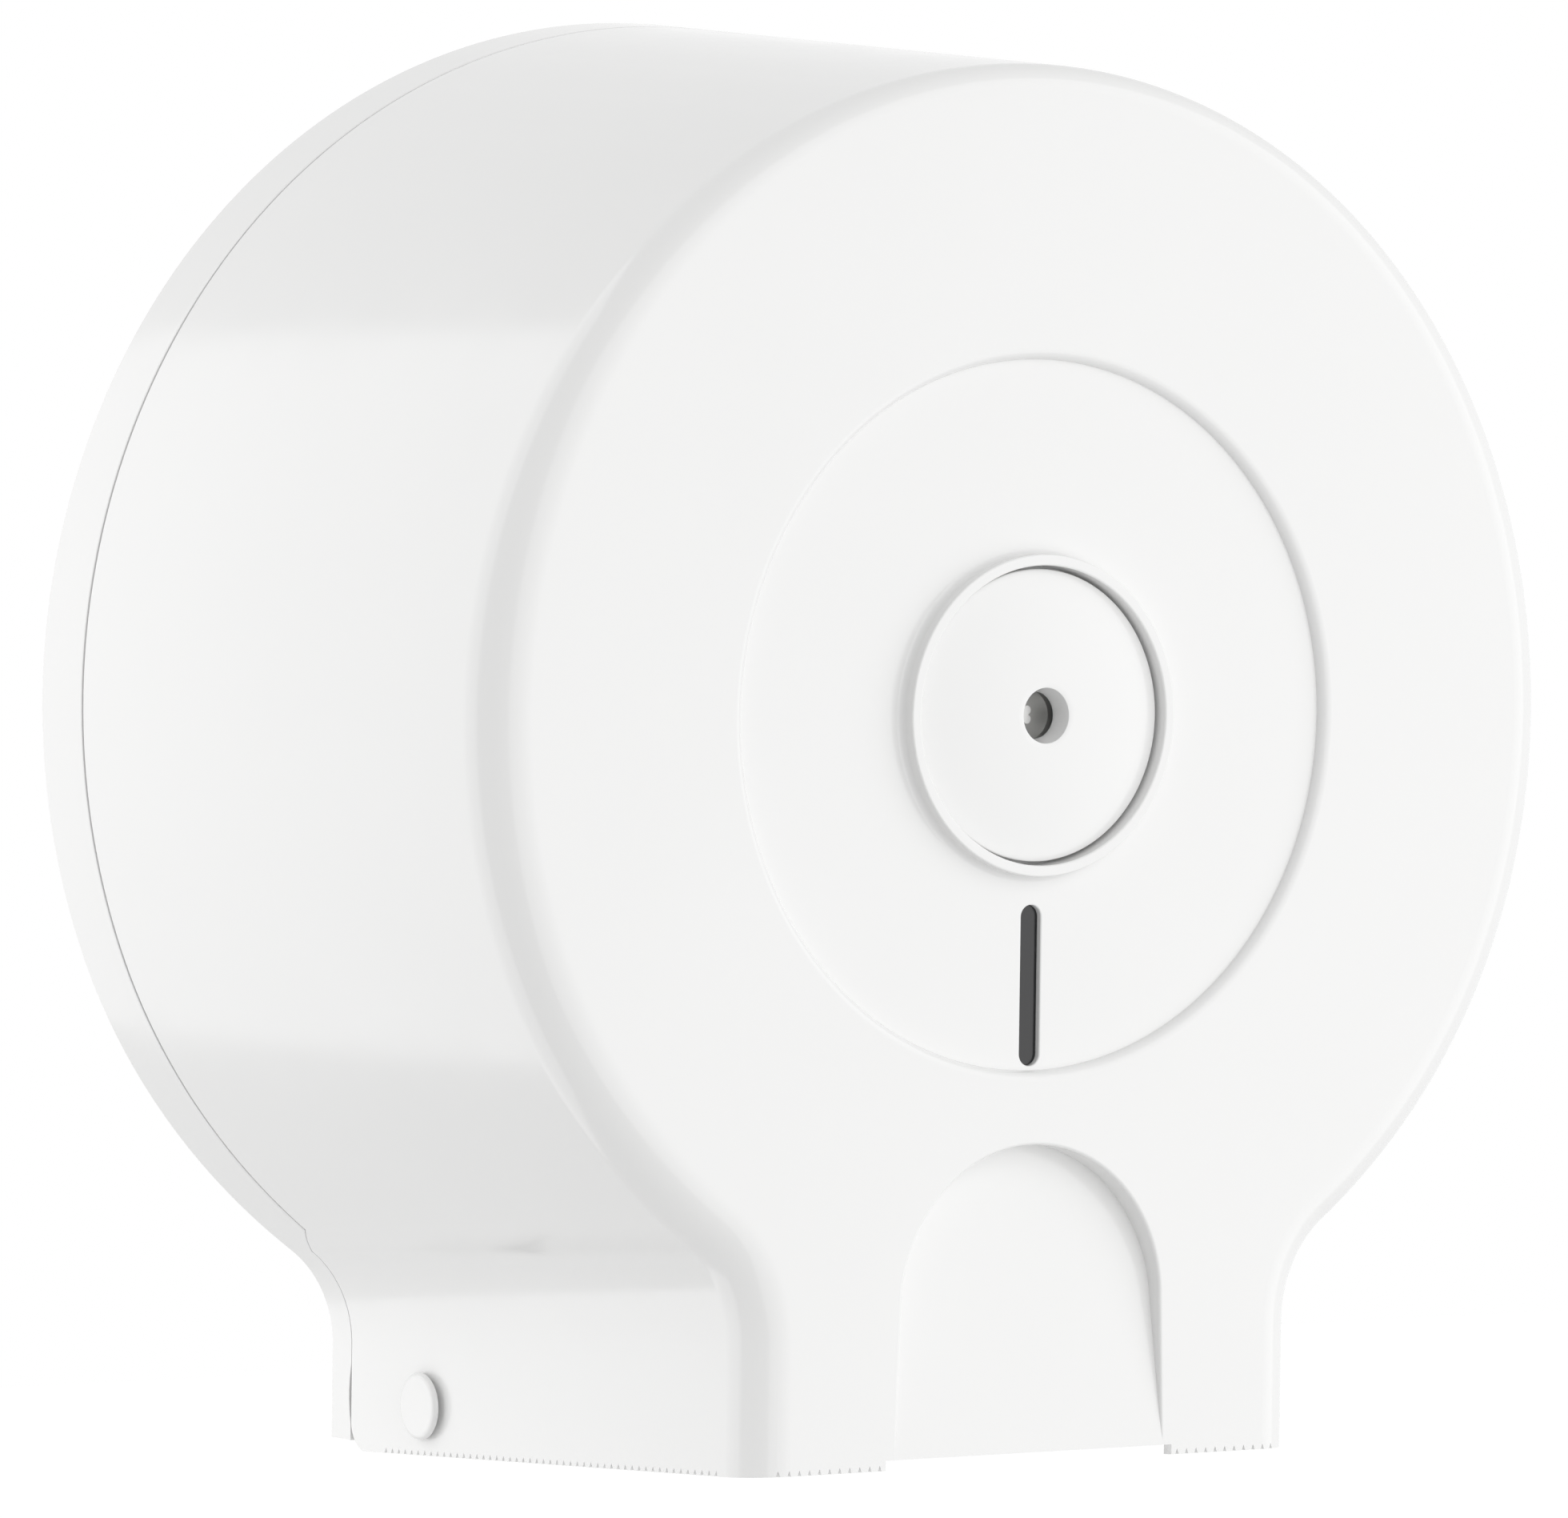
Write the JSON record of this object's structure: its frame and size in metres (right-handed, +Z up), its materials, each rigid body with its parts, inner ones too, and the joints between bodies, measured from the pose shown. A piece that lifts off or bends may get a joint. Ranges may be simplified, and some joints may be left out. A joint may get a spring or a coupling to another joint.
{
  "type": "jumbo toilet roll dispenser",
  "caption": "Round wall dispenser for a large toilet roll: a drum-shaped cover with a centre lock and a level slot swings down on two pins over a spool on a back shell.",
  "frame": {"origin": "on the wall plane, on the axis of the spindle and drum, the centre of the four wall holes", "axes": "+Z up, -Y out of the wall towards the user, +X to the right as seen from the front"},
  "size_m": [0.2798, 0.1495, 0.2934],
  "materials": {
    "white_shell": "glossy moulded white",
    "smoked_pane": "smoked, clear and glossy",
    "inner_grey": "satin moulded grey",
    "steel": "zinc-plated, satin",
    "cast_metal": "die-cast, dull chrome plated"
  },
  "bodies": {
    "base": {"back_shell": "white_shell", "spindle": "inner_grey", "spindle_screws": "steel", "thrust_washer": "inner_grey", "retaining_ring": "steel", "lock_keeper": "steel", "keeper_screws": "steel"},
    "spool": {"roll_spool": "inner_grey"},
    "cover": {"cover_shell": "white_shell", "level_window": "smoked_pane", "lock_rosette": "white_shell", "rosette_screws": "steel", "lock_housing": "cast_metal", "lock_washer": "steel", "lock_nut": "steel", "hinge_pin_left": "white_shell", "hinge_pin_right": "white_shell", "hinge_clip_left": "steel", "hinge_clip_right": "steel"},
    "lock": {"lock_barrel": "cast_metal", "lock_bolt": "steel", "bolt_screw": "steel"}
  },
  "joints": [
    {"name": "cover_hinge", "type": "hinge", "parent": "base", "child": "cover", "pos_m": [0, -0.0345, -0.1422], "axis": [1, 0, 0], "range_deg": [0, 100]},
    {"name": "lock_turn", "type": "hinge", "parent": "cover", "child": "lock", "pos_m": [0, -0.13, 0], "axis": [0, 1, 0], "range_deg": [0, 90]},
    {"name": "spool_turn", "type": "hinge", "parent": "base", "child": "spool", "pos_m": [0, -0.055, 0], "axis": [0, -1, 0], "continuous": true}
  ]
}
